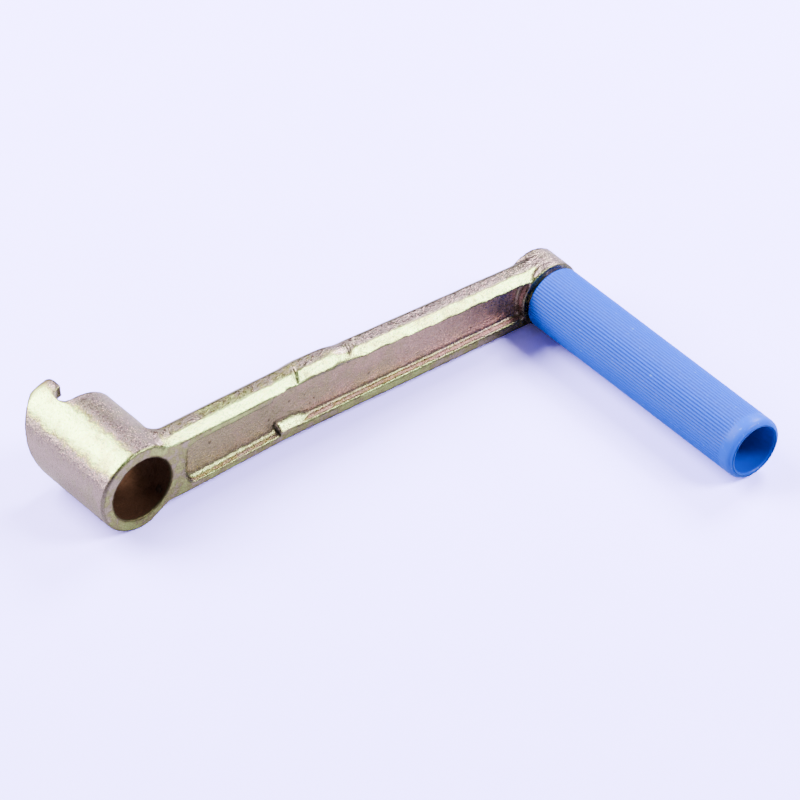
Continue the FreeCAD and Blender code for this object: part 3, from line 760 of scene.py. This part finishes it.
class HANDLE_OT_grip(bpy.types.Operator):
    """Build the moulded grip with its ribs and open mouth"""
    bl_idname = "handle.grip"
    bl_label = "Grip"

    def execute(self, context):
        looks = context.scene.grip_looks
        low, high = GRIP_BOX
        root, free = high[1], low[1]
        outer = (high[0] - low[0]) / 2
        shoulder = free + looks.mouth_depth
        profile = [(root, looks.bore, 0.5), (root, outer, 0.4), (free, outer, 1.0),
                   (free, looks.mouth, 0.5), (shoulder, looks.mouth, 0.4), (shoulder, looks.bore, 0.4)]
        turned = rounded(profile, looks.end_round)
        outline = self.divided(turned, outer)
        mesh = lathe("grip_turned", outline, AXIS, looks.ribs * 8)
        piece = bpy.data.objects.new("grip_turned", mesh)
        bpy.context.collection.objects.link(piece)
        plastic = moulded_plastic(looks)
        ribs = piece.modifiers.new("ribs", "NODES")
        ribs.node_group = rib_tree()
        values = {"Centre X": AXIS.x, "Centre Z": AXIS.z, "Outer Radius": outer,
                  "Mouth Radius": looks.mouth, "Groove Depth": looks.rib_height,
                  "Free End": free + looks.collar, "Ribs": looks.ribs, "Plastic": plastic}
        for item in ribs.node_group.interface.items_tree:
            if item.in_out == "INPUT" and item.name in values:
                ribs[item.identifier] = values[item.name]
        ribbed = evaluated_mesh(piece)
        bpy.data.objects.remove(piece)
        finished(ribbed, "grip_moulding", plastic, "grip", "grip_sleeve")
        return {"FINISHED"}

    def divided(self, outline, outer, spacing=1.5 * MM, shortest=20 * MM):
        """Add points along the outer wall, so that the ribs can end on it."""
        result = []
        for start, end in zip(outline, outline[1:] + outline[:1]):
            result.append(start)
            length = abs(end[0] - start[0])
            if length > shortest and min(start[1], end[1]) > outer * 0.99:
                parts = int(length / spacing)
                for i in range(1, parts):
                    result.append((start[0] + (end[0] - start[0]) * i / parts, start[1]))
        return result


class HANDLE_OT_stage(bpy.types.Operator):
    """Lay the paper, hang the softboxes and set the camera"""
    bl_idname = "handle.stage"
    bl_label = "Studio"

    def execute(self, context):
        looks = context.scene.stage_looks
        bpy.ops.mesh.primitive_plane_add(size=8, location=(0, 0, FLOOR_Z))
        floor = context.object
        floor.name = "paper"
        floor.data.materials.append(seamless_paper(looks))
        self.room(context.scene, looks)
        self.softbox("back_softbox", Vector(looks.back_aim), looks.back_size, looks.back, "fffaf0")
        self.softbox("front_softbox", Vector(looks.front_aim), looks.front_size, looks.front, "fffbf4")
        self.softbox("side_softbox", Vector(looks.side_aim), looks.side_size, looks.side, "fffaf4")
        self.camera(context.scene, looks)
        return {"FINISHED"}

    def room(self, scene, looks):
        world = bpy.data.worlds.new("room")
        scene.world = world
        world.use_nodes = True
        tree = world.node_tree
        tree.nodes.clear()
        towards = add_node(tree, "ShaderNodeTexCoord").outputs["Generated"]
        facing = add_node(tree, "ShaderNodeVectorMath",
                          {0: towards, 1: Vector(looks.drape_aim).normalized()},
                          operation="DOT_PRODUCT").outputs["Value"]
        black = stepped(tree, facing, math.cos(looks.drape_outer), math.cos(looks.drape_inner))
        room = mixed(tree, black, "f1eff6", "15140f")
        light = add_node(tree, "ShaderNodeBackground", {"Color": room, "Strength": looks.sky})
        add_node(tree, "ShaderNodeOutputWorld", {"Surface": light.outputs[0]})

    def softbox(self, name, away, size, power, colour):
        """An area light at a place seen from the hub, turned to face it."""
        data = bpy.data.lights.new(name, "AREA")
        data.shape = "RECTANGLE"
        data.size, data.size_y = size
        data.energy = power
        data.color = linear(colour)[:3]
        lamp = bpy.data.objects.new(name, data)
        across = Vector((away.z, 0, -away.x)).normalized()
        outward = away.normalized()
        upright = outward.cross(across)
        lamp.matrix_world = Matrix((across, upright, outward)).transposed().to_4x4()
        lamp.location = away
        bpy.context.collection.objects.link(lamp)

    def camera(self, scene, looks):
        data = bpy.data.cameras.new("camera")
        data.sensor_width = 36
        data.lens = looks.lens
        data.clip_start = 0.1
        data.clip_end = 20
        camera = bpy.data.objects.new("camera", data)
        aside = math.cos(looks.elevation)
        away = Vector((aside * math.sin(looks.azimuth), -aside * math.cos(looks.azimuth),
                       math.sin(looks.elevation)))
        camera.location = Vector(looks.aim) + away * looks.distance
        camera.rotation_euler = (-away).to_track_quat("-Z", "Y").to_euler()
        bpy.context.collection.objects.link(camera)
        scene.camera = camera


class HANDLE_PT_panel(bpy.types.Panel):
    """Lists the pieces of the handle"""
    bl_idname = "HANDLE_PT_panel"
    bl_label = "Starting handle"
    bl_space_type = "VIEW_3D"
    bl_region_type = "UI"
    bl_category = "Starting handle"

    def draw(self, context):
        for step in STEPS:
            self.layout.operator(step.bl_idname)
        for group in ("crank_looks", "grip_looks", "stage_looks"):
            looks = getattr(context.scene, group)
            column = self.layout.column(heading=group)
            for name in looks.__annotations__:
                column.prop(looks, name)


STEPS = (HANDLE_OT_crank, HANDLE_OT_spindle, HANDLE_OT_grip, HANDLE_OT_stage)
GROUPS = (("crank_looks", CrankLooks), ("grip_looks", GripLooks), ("stage_looks", StageLooks))


def register():
    for name, group in GROUPS:
        bpy.utils.register_class(group)
        setattr(bpy.types.Scene, name, PointerProperty(type=group))
    for shown in STEPS + (HANDLE_PT_panel,):
        bpy.utils.register_class(shown)


def unregister():
    for shown in (HANDLE_PT_panel,) + STEPS[::-1]:
        bpy.utils.unregister_class(shown)
    for name, group in GROUPS:
        delattr(bpy.types.Scene, name)
        bpy.utils.unregister_class(group)


def main():
    register()
    for step in (bpy.ops.handle.crank, bpy.ops.handle.spindle, bpy.ops.handle.grip,
                 bpy.ops.handle.stage):
        step()


if __name__ == "__main__":
    main()
